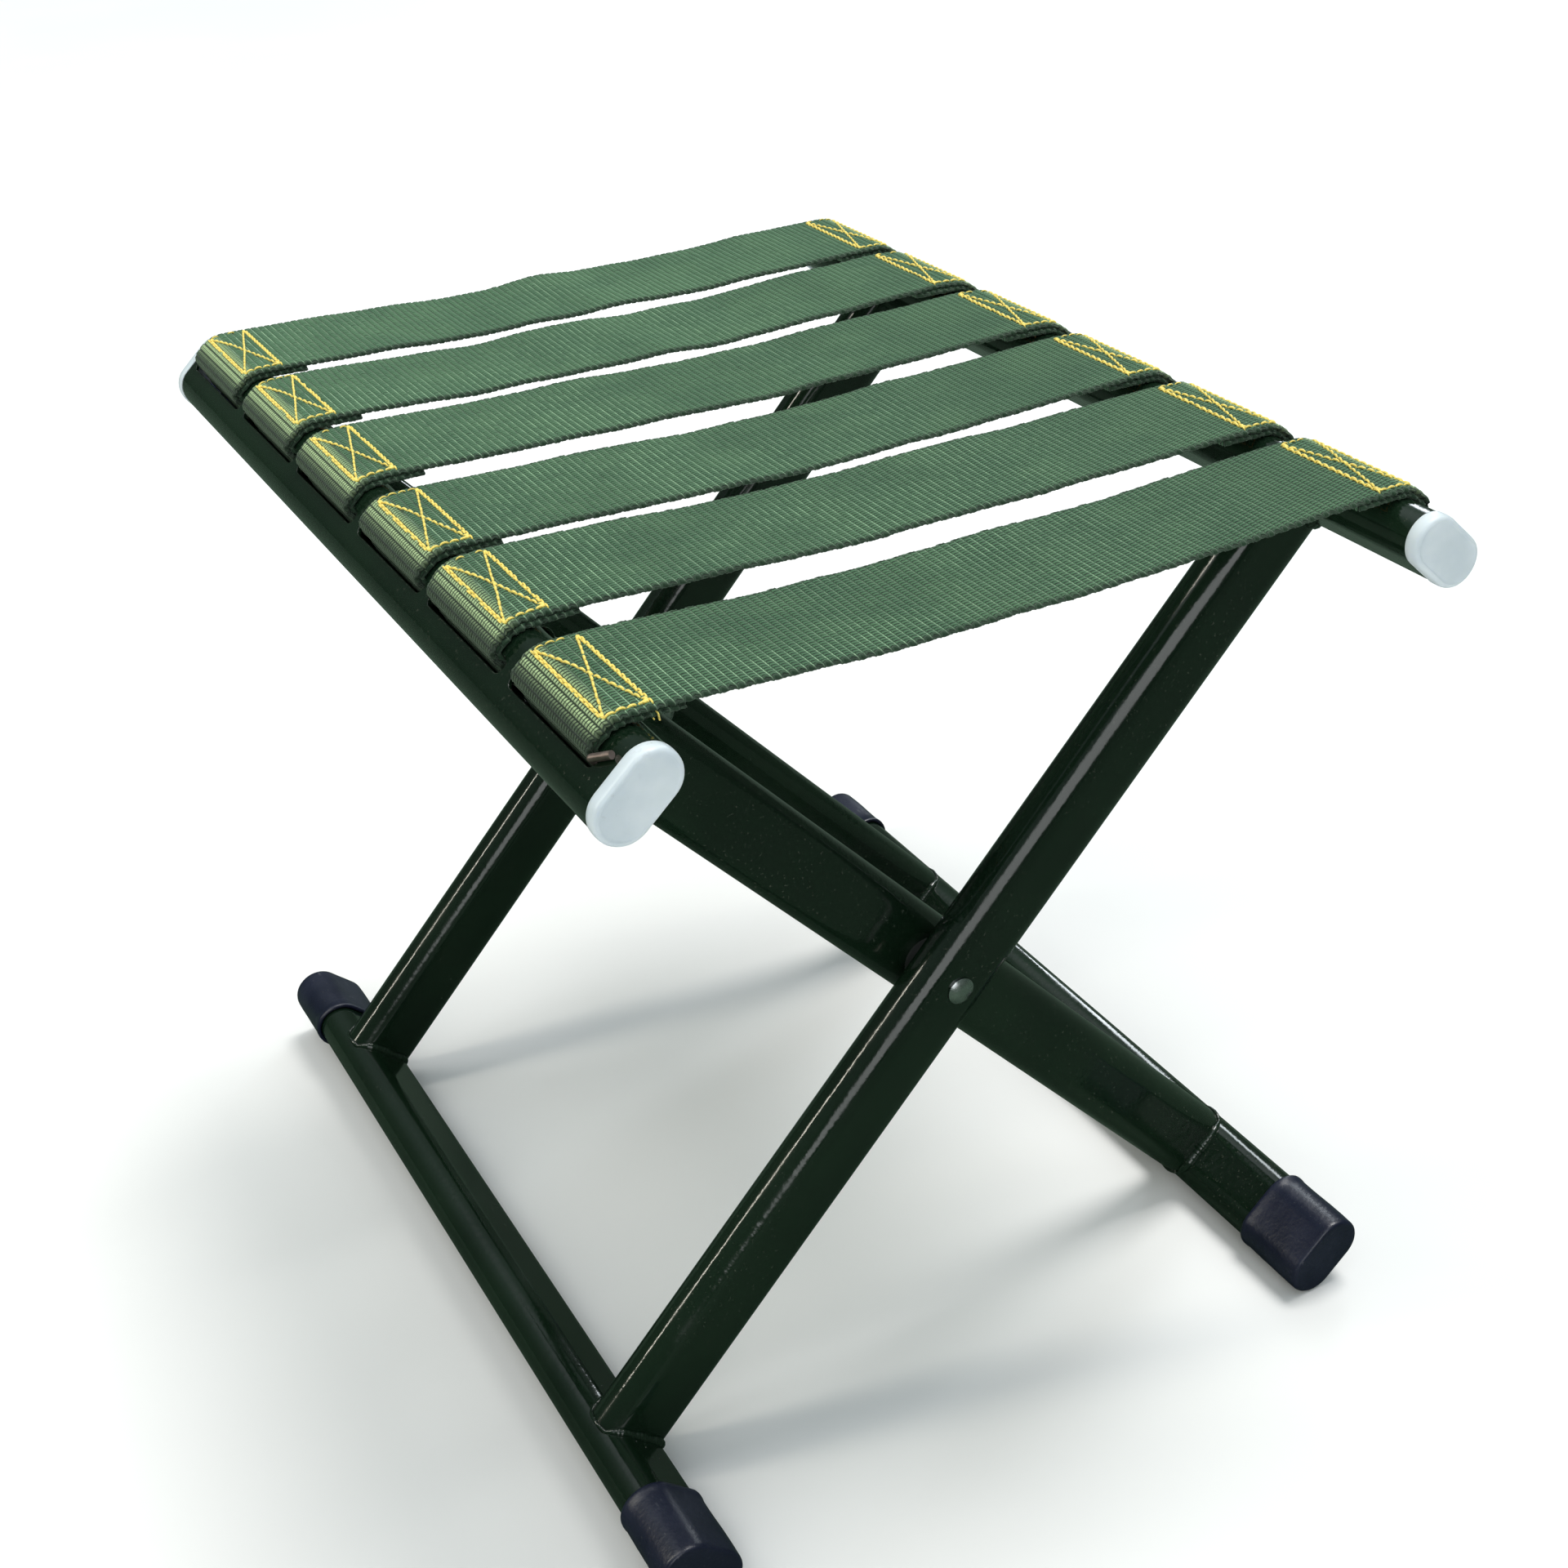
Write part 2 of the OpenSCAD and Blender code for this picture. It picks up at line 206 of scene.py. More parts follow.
# ---------------------------------------------------------------- material helpers
class Material:
    def __init__(self, name):
        self.material = bpy.data.materials.new(name)
        self.material.use_nodes = True
        self.tree = self.material.node_tree
        self.tree.nodes.clear()
        self.output = self.node("ShaderNodeOutputMaterial")
        self.shader = self.node("ShaderNodeBsdfPrincipled")
        self.put(self.output.inputs[0], self.shader.outputs[0])

    def node(self, kind, **settings):
        node = self.tree.nodes.new(kind)
        for key, value in settings.items():
            setattr(node, key, value)
        return node

    def put(self, socket, value):
        """Links an output to a socket, or sets the socket's value."""
        if isinstance(value, bpy.types.NodeSocket):
            self.tree.links.new(value, socket)
        elif isinstance(value, (tuple, list)) and len(value) == 3 and socket.type == "RGBA":
            socket.default_value = (*value, 1.0)
        else:
            socket.default_value = value

    def calc(self, operation, a, b=None, clamp=False):
        node = self.node("ShaderNodeMath", operation=operation, use_clamp=clamp)
        self.put(node.inputs[0], a)
        if b is not None:
            self.put(node.inputs[1], b)
        return node.outputs[0]

    def times(self, a, by, clamp=False):
        return self.calc("MULTIPLY", a, by, clamp)

    def plus(self, a, b, clamp=False):
        return self.calc("ADD", a, b, clamp)

    def size_of(self, a):
        return self.calc("ABSOLUTE", a)

    def mix(self, factor, under, over):
        node = self.node("ShaderNodeMix", data_type="RGBA", blend_type="MIX")
        for i, value in ((0, factor), (6, under), (7, over)):
            self.put(node.inputs[i], value)
        return node.outputs[2]

    def noise(self, vector, scale, detail=2.0, rough=0.5, distortion=0.0):
        node = self.node("ShaderNodeTexNoise")
        values = {"Vector": vector, "Scale": scale, "Detail": detail,
                  "Roughness": rough, "Distortion": distortion}
        for key, value in values.items():
            self.put(node.inputs[key], value)
        return node.outputs["Fac"]

    def ramp(self, value, span, to=(0.0, 1.0)):
        """Smooth step from to[0] to to[1] while value crosses span."""
        node = self.node("ShaderNodeMapRange", interpolation_type="SMOOTHSTEP")
        node.clamp = True
        for i, item in enumerate((value, *span, *to)):
            self.put(node.inputs[i], item)
        return node.outputs[0]

    def patches(self, vector, span, to=(0.0, 1.0), **noise):
        return self.ramp(self.noise(vector, **noise), span, to)

    def two_tone(self, tone, deep, pale, span=(0.3, 0.7)):
        return self.mix(self.ramp(tone, span), deep, pale)

    def position(self):
        return self.node("ShaderNodeTexCoord").outputs["Object"]

    def stretch(self, vector, factors):
        node = self.node("ShaderNodeVectorMath", operation="MULTIPLY")
        self.put(node.inputs[0], vector)
        node.inputs[1].default_value = factors
        return node.outputs[0]

    def bump(self, height, strength, distance, normal=None):
        node = self.node("ShaderNodeBump")
        node.inputs["Strength"].default_value = strength
        node.inputs["Distance"].default_value = distance
        self.put(node.inputs["Height"], height)
        if normal is not None:
            self.put(node.inputs["Normal"], normal)
        return node.outputs[0]

    def surface(self, **inputs):
        for key, value in inputs.items():
            self.put(self.shader.inputs[key.replace("_", " ")], value)
        return self.material


# ---------------------------------------------------------------- materials
def enamel(name, deep, pale, scuffing=1.0, worn_edges=True):
    """Dark green gloss enamel: orange peel, drifting tone, fine scuffs, worn edges."""
    m = Material(name)
    place = m.position()
    colour = m.two_tone(m.noise(place, scale=14, detail=3), deep, pale, span=(0.35, 0.68))
    # stretched scuffs, kept to a few patches
    scuffs = m.times(
        m.patches(m.stretch(place, (1.0, 5.0, 1.0)), span=(0.62, 0.72),
                  scale=420, detail=3, rough=0.6, distortion=0.4),
        m.patches(place, span=(0.56, 0.72), scale=22))
    scuffs = m.times(scuffs, by=0.35 * scuffing)
    colour = m.mix(scuffs, colour, over=(0.075, 0.09, 0.07))
    dust = m.times(m.patches(place, span=(0.63, 0.75), scale=900),
                   m.patches(place, span=(0.4, 0.7), to=(0.0, 0.28 * scuffing), scale=9))
    colour = m.mix(dust, colour, over=(0.16, 0.16, 0.13))
    normal = None
    if worn_edges:
        # an edge is where the bevelled normal leaves the true one
        bevel = m.node("ShaderNodeBevel", samples=4)
        bevel.inputs["Radius"].default_value = 0.0005
        normal = bevel.outputs[0]
        dot = m.node("ShaderNodeVectorMath", operation="DOT_PRODUCT")
        m.put(dot.inputs[0], normal)
        m.put(dot.inputs[1], m.node("ShaderNodeNewGeometry").outputs["Normal"])
        worn = m.times(m.ramp(dot.outputs["Value"], span=(0.985, 0.9)),
                       m.patches(place, span=(0.5, 0.62), scale=600, detail=3))
        colour = m.mix(m.times(worn, by=0.55), colour, over=(0.11, 0.12, 0.1))
    rough = m.patches(place, span=(0.3, 0.75), to=(0.09, 0.19), scale=60, detail=3)
    rough = m.plus(rough, m.times(scuffs, by=0.5), clamp=True)
    peel = m.plus(m.noise(place, scale=420), m.times(m.noise(place, scale=95), by=1.6))
    normal = m.bump(peel, strength=0.085, distance=0.0006, normal=normal)
    return m.surface(Base_Color=colour, Roughness=rough, Normal=normal, Specular_IOR_Level=0.5,
                     Coat_Weight=0.35, Coat_Roughness=0.05, Coat_IOR=1.4, Coat_Normal=normal)


def webbing():
    """Woven webbing: cross ribs and warp yarns, painted shade in the valleys, painted highlights on
    the weft lines, a wrap painted lighter on top and shaded towards the slot, sheen, dark
    selvedges.

    The "weave" attribute holds metres along the strap from mid-seat and across from its centre.
    """
    m = Material("webbing_weave")
    weave = m.node("ShaderNodeAttribute", attribute_name="weave").outputs["Vector"]
    split = m.node("ShaderNodeSeparateXYZ")
    m.put(split.inputs[0], weave)
    along, across = split.outputs[0], split.outputs[1]

    # warp yarns step half a yarn sideways on every other rib
    ribs = m.calc("DIVIDE", along, RIB_PITCH * MM)
    rib = m.size_of(m.calc("SINE", m.times(ribs, by=math.pi)))
    odd = m.calc("MODULO", m.size_of(m.calc("FLOOR", ribs)), 2.0)
    yarns = m.plus(m.calc("DIVIDE", across, YARN * MM), m.times(odd, by=0.5))
    warp = m.size_of(m.calc("COSINE", m.times(yarns, by=math.pi)))
    crown = m.times(m.ramp(rib, span=(0.10, 0.52)), m.ramp(warp, span=(0.34, 0.70)))
    from_crest = m.size_of(m.calc("SUBTRACT", m.calc("FRACT", ribs), 0.5))
    weft_line = m.ramp(from_crest, span=(0.405, 0.455))

    place = m.position()
    fibre = m.noise(m.stretch(weave, (1.0, 9.0, 1.0)), scale=1500, detail=3, rough=0.6)
    blotch = m.noise(m.stretch(weave, (1.0, 1.6, 1.0)), scale=34, detail=3)
    thin = m.noise(m.stretch(weave, (1.0, 0.25, 1.0)), scale=900)
    # 1 on the stretch wrapped over either rail
    wrap = m.times(m.ramp(m.size_of(along), span=(0.1312, 0.1362)),
                   m.ramp(m.size_of(along), span=(0.146, 0.151), to=(1.0, 0.0)))

    # painted shade: near-black colour in the valleys between the raised yarns
    valley_shade = m.two_tone(blotch, deep=(0.0015, 0.008, 0.0035), pale=(0.004, 0.014, 0.006))
    green = m.two_tone(blotch, deep=(0.045, 0.136, 0.063), pale=(0.068, 0.174, 0.081),
                       span=(0.3, 0.72))
    # weft yarn colour, made pale as a painted highlight on the weft lines
    weft = m.two_tone(thin, deep=(0.20, 0.38, 0.22), pale=(0.34, 0.54, 0.33))
    raised = m.times(crown, m.ramp(fibre, span=(0.2, 0.8), to=(0.7, 1.15)), clamp=True)
    colour = m.mix(raised, valley_shade, green)

    # the pale weft line is weft yarn showing plus a painted highlight on it; it is crisp over some
    # of the span and almost lost over the rest
    unwrapped = m.calc("SUBTRACT", 1.0, wrap)
    crisp = m.times(m.patches(m.stretch(weave, (1.0, 1.0, 3.0)), span=(0.36, 0.62),
                              to=(0.3, 1.0), scale=16),
                    m.ramp(along, span=(0.01, 0.10), to=(1.0, 0.55)))
    bright = m.times(m.times(weft_line, m.ramp(thin, span=(0.25, 0.6), to=(0.35, 0.95))),
                     m.times(unwrapped, crisp))
    colour = m.mix(bright, colour, weft)

    # yellower wrap on the rails, partly yellowed by the sun and partly painted light on its top,
    # with painted shade between its rows and painted shade where it turns down into the slot
    half_rib = m.size_of(m.calc("SINE", m.times(ribs, by=2 * math.pi)))
    raised_wrap = m.times(raised, m.ramp(half_rib, span=(0.05, 0.45), to=(0.25, 1.0)))
    faded_and_lit = m.mix(raised_wrap, under=(0.012, 0.028, 0.008), over=(0.48, 0.64, 0.33))
    # painted shade: the wrap darkens as it turns down into the slot
    slot_shade = m.ramp(m.size_of(along), span=(0.1382, 0.1424))
    shaded = m.mix(raised_wrap, under=(0.002, 0.006, 0.002), over=(0.016, 0.034, 0.010))
    faded_and_lit = m.mix(m.times(slot_shade, by=0.97), faded_and_lit, shaded)
    colour = m.mix(m.times(wrap, by=0.88), colour, faded_and_lit)

    # darker selvedge along both edges, and a few pale flecks of lint
    selvedge = m.ramp(m.size_of(across), span=(0.0228, 0.0247))
    colour = m.mix(m.times(selvedge, by=0.78), colour, over=(0.010, 0.026, 0.013))
    lint = m.times(m.patches(place, span=(0.7, 0.78), scale=1300),
                   m.patches(place, span=(0.5, 0.7), to=(0.0, 0.5), scale=70))
    colour = m.mix(lint, colour, over=(0.35, 0.38, 0.3))
    height = m.plus(m.calc("MAXIMUM", m.times(crown, by=0.9), m.times(bright, by=0.6)),
                    m.times(fibre, by=0.3))
    return m.surface(Base_Color=colour, Roughness=m.ramp(fibre, span=(0.2, 0.8), to=(0.62, 0.86)),
                     Normal=m.bump(height, strength=0.7, distance=0.0005),
                     Specular_IOR_Level=0.4, Sheen_Weight=0.22, Sheen_Roughness=0.45,
                     Sheen_Tint=(0.75, 0.95, 0.78))


def thread(name, light, dark):
    """Twisted thread: diagonal bands of two tones."""
    m = Material(name)
    place = m.position()
    wave = m.node("ShaderNodeTexWave", wave_type="BANDS", bands_direction="DIAGONAL")
    m.put(wave.inputs["Vector"], place)
    wave.inputs["Scale"].default_value = 650
    wave.inputs["Distortion"].default_value = 1.5
    twist = wave.outputs["Fac"]
    colour = m.mix(m.times(twist, by=0.8), dark, light)
    soil = m.patches(place, span=(0.55, 0.75), to=(0.0, 0.35), scale=260)
    colour = m.mix(soil, colour, over=tuple(0.5 * c for c in dark))
    return m.surface(Base_Color=colour, Roughness=0.5, Sheen_Weight=0.25, Sheen_Roughness=0.4,
                     Normal=m.bump(twist, strength=0.5, distance=0.00012))


def polythene():
    """Pale translucent plastic with patches of grime."""
    m = Material("plug_polythene")
    place = m.position()
    tone = m.noise(place, scale=60, detail=3)
    colour = m.two_tone(tone, deep=(0.62, 0.70, 0.75), pale=(0.73, 0.80, 0.84))
    grime = m.times(m.patches(place, span=(0.58, 0.72), scale=330, detail=4, rough=0.65),
                    m.patches(place, span=(0.45, 0.7), to=(0.0, 0.4), scale=40))
    colour = m.mix(grime, colour, over=(0.36, 0.38, 0.38))
    fine = m.noise(m.stretch(place, (1.0, 1.0, 6.0)), scale=500)
    height = m.plus(m.noise(place, scale=160), m.times(fine, by=0.3))
    return m.surface(Base_Color=colour, Roughness=m.ramp(tone, span=(0.3, 0.7), to=(0.3, 0.44)),
                     Normal=m.bump(height, strength=0.12, distance=0.0006),
                     Subsurface_Weight=0.25, Subsurface_Radius=(0.004, 0.004, 0.005),
                     Subsurface_Scale=0.6, Coat_Weight=0.1, Coat_Roughness=0.2)


def rubber():
    """Near-black caps with dull scratches and dust."""
    m = Material("cap_pvc")
    place = m.position()
    tone = m.noise(place, scale=45, detail=3)
    colour = m.two_tone(tone, deep=(0.005, 0.007, 0.021), pale=(0.010, 0.013, 0.034))
    scratches = m.times(
        m.patches(m.stretch(place, (1.0, 0.35, 1.0)), span=(0.6, 0.72),
                  scale=520, detail=4, rough=0.65, distortion=0.3),
        m.patches(place, span=(0.42, 0.65), to=(0.0, 0.5), scale=45))
    colour = m.mix(scratches, colour, over=(0.10, 0.11, 0.13))
    dust = m.times(m.patches(place, span=(0.68, 0.78), scale=1200), by=0.25)
    colour = m.mix(dust, colour, over=(0.22, 0.22, 0.21))
    height = m.plus(m.noise(place, scale=700, detail=3),
                    m.times(m.noise(place, scale=130), by=1.2))
    rough = m.plus(m.ramp(tone, span=(0.3, 0.7), to=(0.30, 0.42)),
                   m.times(scratches, by=0.3), clamp=True)
    return m.surface(Base_Color=colour, Roughness=rough, Specular_IOR_Level=0.55,
                     Normal=m.bump(height, strength=0.22, distance=0.0005))


def steel(name, deep, pale, rough, scratched):
    """Bare metal with brown spots; scratched adds stretched marks."""
    m = Material(name)
    place = m.position()
    colour = m.two_tone(m.noise(place, scale=180, detail=3), deep, pale)
    spots = m.patches(place, span=(0.62, 0.74), to=(0.0, 0.5), scale=620, detail=4, rough=0.7)
    colour = m.mix(spots, colour, over=(0.16, 0.10, 0.07))
    if scratched:
        height = m.noise(m.stretch(place, (1.0, 1.0, 5.0)), scale=900, detail=3)
    else:
        height = m.noise(place, scale=500, detail=3)
    return m.surface(Base_Color=colour, Metallic=1.0,
                     Roughness=m.patches(place, span=(0.3, 0.7), to=rough, scale=300, detail=3),
                     Normal=m.bump(height, strength=0.2, distance=0.0002))


def nylon():
    m = Material("spacer_nylon_black")
    place = m.position()
    tone = m.noise(place, scale=120, detail=3)
    grain = m.noise(place, scale=800, detail=3)
    return m.surface(
        Base_Color=m.two_tone(tone, deep=(0.018, 0.02, 0.019), pale=(0.034, 0.036, 0.034)),
        Roughness=m.ramp(tone, span=(0.3, 0.7), to=(0.42, 0.6)),
        Normal=m.bump(grain, strength=0.2, distance=0.0003))


PAINT = enamel("frame_enamel", deep=(0.0035, 0.0105, 0.0052), pale=(0.0060, 0.0165, 0.0080))
WELD = enamel("weld_enamel", deep=(0.0040, 0.0120, 0.0060), pale=(0.0085, 0.0200, 0.0105),
              scuffing=1.4, worn_edges=False)
WEB = webbing()
THREAD = thread("stitch_yellow", light=(1.0, 0.86, 0.25), dark=(0.96, 0.70, 0.11))
BOBBIN = thread("stitch_orange", light=(0.80, 0.34, 0.05), dark=(0.45, 0.15, 0.02))
PLUG = polythene()
RUBBER = rubber()
WIRE = steel("rod_steel", deep=(0.30, 0.23, 0.21), pale=(0.46, 0.38, 0.35),
             rough=(0.35, 0.55), scratched=False)
RIVET = steel("rivet_zinc", deep=(0.52, 0.55, 0.55), pale=(0.72, 0.74, 0.74),
              rough=(0.18, 0.32), scratched=True)
NYLON = nylon()


def set_material(obj, material):
    obj.data.materials.clear()
    obj.data.materials.append(material)
    for polygon in obj.data.polygons:
        polygon.material_index = 0


def finish(obj, material, slot, rides=None, replaces=None):
    set_material(obj, material)
    if rides:
        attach(obj, rides)
    if replaces:
        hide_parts(replaces)


# each row gives a material and a slot name; the first word found in a piece's name picks the row,
# whose material is set
PIECE_FINISHES = {
    "rod": (WIRE, "wire_steel"),
    "rivet": (RIVET, "rivet_steel"),
    "washer": (RIVET, "rivet_steel"),
    "spacer": (NYLON, "spacer_nylon"),
    "strap": (WEB, "webbing"),
    "plug": (PLUG, "plug_plastic"),
    "cap": (RUBBER, "cap_rubber"),
    "weld": (WELD, "weld_paint"),
}
for name, obj in frame["nodes"].items():
    found = [pair for word, pair in PIECE_FINISHES.items() if word in name]
    finish(obj, *(found[0] if found else (PAINT, "tube_paint")))


# ---------------------------------------------------------------- strap centre line
def arc(x, z, r, start_deg, end_deg, n):
    t = np.radians(np.linspace(start_deg, end_deg, n))
    return np.stack([x + r * np.cos(t), z + r * np.sin(t)], -1)


def rail_path():
    """Centre line at the inner rail, from the tail's end to the top tangent.

    Columns are X, Z in the rail's own axes.
    """
    tilt = math.degrees(TILT)
    top = 90 - tilt              # direction of world up, in these axes
    world_x = np.array([math.cos(math.radians(-tilt)), math.sin(math.radians(-tilt))])
    tangent = np.array([FLAT + R_TAIL * math.cos(math.radians(top)),
                        R_TAIL * math.sin(math.radians(top))])
    return np.vstack([
        tangent + np.linspace(TAIL, 0.0, 60)[:, None] * world_x,
        arc(FLAT, 0, R_TAIL, top, 90, 60),
        [(3.4, R_TAIL), (2.9, R_TAIL)],
        arc(2.75, R_TAIL - 1.0, 1.0, 90, 180, 12),      # tail layer turns down into the slot
        [(1.7, 6.0), (1.7, 3.0)],
        arc(0, 0, 2.25, 20, -200, 40),                  # round the rod
        [(-1.2, 3.0), (0.05, 6.2)],
        arc(3.1, R_OUTER - 3.0, 3.0, 180, 90, 20),      # outer layer comes out of the slot
        [(3.6, R_OUTER)],
        arc(FLAT, 0, R_OUTER, 90, top, 60),
    ])


def centre_line():
    """Whole centre line in world X, Z with repeated points dropped."""
    rail = rail_path()
    upright = np.stack([rail[:, 0], 0 * rail[:, 0], rail[:, 1] + PIVOT_TO_RAIL], -1)
    left = local_to_world(upright)[:, [0, 2]]
    n = 200
    x, z = left[-1]
    span = np.stack([np.linspace(x, -x, n), np.full(n, z)], -1)[1:-1]
    line = np.vstack([left, span, (left * [-1, 1])[::-1]])
    keep = np.r_[True, np.linalg.norm(np.diff(line, axis=0), axis=1) > 1e-6]
    return line[keep]


LINE = centre_line()
LENGTHS = np.r_[0, np.cumsum(np.linalg.norm(np.diff(LINE, axis=0), axis=1))]
HALF = LENGTHS[-1] / 2
LENGTHS = LENGTHS - HALF          # s: 0 at mid-seat, growing towards the outer rail
S_TANGENT = -ROUND_X              # |s| of the top tangent on either rail
S_SLOT = S_TANGENT + R_OUTER * TILT + 4.9  # |s| where the outer layer turns into the slot
SPAN_Z = ROUND_Z + R_OUTER        # centre-line height of the span before sag


def line_at(s):
    return np.interp(s, LENGTHS, LINE[:, 0]), np.interp(s, LENGTHS, LINE[:, 1])


def on_path(s):
    """Centre-line point x, z and upper normal x, z at arc length s."""
    x, z = line_at(s)
    step = 0.15
    x0, z0 = line_at(s - step)
    x1, z1 = line_at(s + step)
    dx, dz = x1 - x0, z1 - z0
    length = np.hypot(dx, dz)
    length[length < 1e-9] = 1
    return x, z, -dz / length, dx / length


def sag(i, x, y):
    """Height change of the free span at x, y (y from the strap's centre)."""
    u = np.clip(np.abs(x) / SOFT_X, 0, 1)
    free = (1 - u * u) ** 1.25
    ripple = 0.5 if i > 2 else 0.8
    # long wave, edge-to-edge twist and short slanted wave
    waves = (0.8 * np.sin(2 * np.pi * x / (88 + 7 * i) + 1.3 * i) * (1 + 0.35 * y / 25)
             + 0.45 * np.sin(2 * np.pi * x / (47 + 3 * i) + 2.1 * i) * y / 25
             + 0.25 * np.sin(2 * np.pi * x / 31 + 0.7 * i + y / 19))
    cup = -0.35 * (1 - (y / STRAP_HALF_W) ** 2)
    return free * (-SAG[i - 1] + ripple * waves + cup)


def creep(i, s):
    """Sideways shift of a strap at s; the slots hold the hidden layers to SLOT_PLAY."""
    inner, outer = CREEP_INNER[i - 1], CREEP_OUTER[i - 1]
    held_in, held_out = np.clip([inner, outer], -SLOT_PLAY, SLOT_PLAY)
    stations = [-400, -S_SLOT, -S_TANGENT + 6, S_TANGENT - 6, S_SLOT, 400]
    main = np.interp(s, stations, [held_in, held_in, inner, outer, held_out, held_out])
    tail = [S_SLOT + 26, HALF]
    shift = np.where(s < -S_SLOT, np.interp(-s, tail, [held_in, inner]),
                     np.where(s > S_SLOT, np.interp(s, tail, [held_out, outer]), main))
    bow = (0.55 * np.sin(2 * np.pi * s / (210 + 9 * i) + i)
           * np.clip(1 - (np.abs(s) / 125) ** 2, 0, 1))
    return shift + bow


def fold_weights(i, x, z, s):
    """Share of the fold each point takes: none at the inner rail, all at the outer.

    Between them the weights would close the span into one downward fold, kept at its own thickness;
    make_strap works them out but never applies them.
    """
    grid = np.linspace(-160, 160, 1601)
    grid_z = SPAN_Z + sag(i, grid, 0 * grid)
    angle = np.arctan2(grid, grid_z - PIVOT_Z)
    reach = np.hypot(grid, grid_z - PIVOT_Z)
    start = np.interp(-SOFT_X, grid, angle)
    share = np.clip((angle - start) / (-2 * start), 0, 1)
    turned = angle - FOLD * share
    tangent_x = np.gradient(reach * np.sin(turned), grid)
    tangent_z = np.gradient(reach * np.cos(turned), grid)
    length = np.hypot(tangent_x, tangent_z)
    normal_x, normal_z = -tangent_z / length, tangent_x / length
    # sideways part of the strap's normal, folded less unfolded
    lean = normal_x * np.cos(turned) - normal_z * np.sin(turned) + np.sin(angle)
    lean[np.abs(grid) > SOFT_X] = 0
    kernel = np.hanning(31)
    lean = np.convolve(lean, kernel / kernel.sum(), "same")
    lean[np.abs(grid) > SOFT_X + 1.5] = 0
    height = np.clip(z - np.interp(x, grid, grid_z), -3.2, 1.4)
    weight = (np.interp(x, grid, share)
              - height * np.interp(x, grid, lean) / (np.interp(x, grid, reach) * FOLD))
    # the strap is stiff from the end of the soft span outwards, on the rail and round the rod
    on_tail = np.abs(s) > HALF - TAIL
    stiff = np.where(on_tail, np.abs(x) > SOFT_X, np.abs(s) > SOFT_X)
    return np.where(stiff, np.where(s < 0, 0.0, 1.0), np.clip(weight, 0, 1))


# ---------------------------------------------------------------- seat straps
def strap_stations():
    """Arc lengths of the cross-sections: four per rib where seen, coarser where hidden."""
    fine = RIB_PITCH / 4
    k = int((S_SLOT + 5.0) / fine)
    middle = np.arange(-k, k + 1) * fine
    hidden_end = HALF - TAIL - 3.0
    hidden_n = int((hidden_end - middle[-1]) / 1.5)
    hidden = np.linspace(middle[-1], hidden_end, hidden_n + 1)[1:]
    tail = np.linspace(hidden_end, HALF, int((HALF - hidden_end) / fine) + 1)[1:]
    ends = np.r_[hidden, tail]
    return np.r_[-ends[::-1], middle, ends]


def strap_faces(n_s, n_y):
    """Quads of a closed flat tube: n_s rings, each n_y points on top and n_y below."""
    m = 2 * n_y
    a = np.arange(n_s - 1)[:, None] * m
    j = np.arange(m)[None, :]
    j2 = (j + 1) % m
    skin = np.stack([a + j, a + j2, a + m + j2, a + m + j], -1).reshape(-1, 4)
    c = np.arange(n_y - 1)
    start = np.stack([c, m - 1 - c, m - 2 - c, c + 1], -1)
    base = (n_s - 1) * m
    end = np.stack([base + c, base + c + 1, base + m - 2 - c, base + m - 1 - c], -1)
    return np.vstack([skin[:, ::-1], start[:, ::-1], end[:, ::-1]])


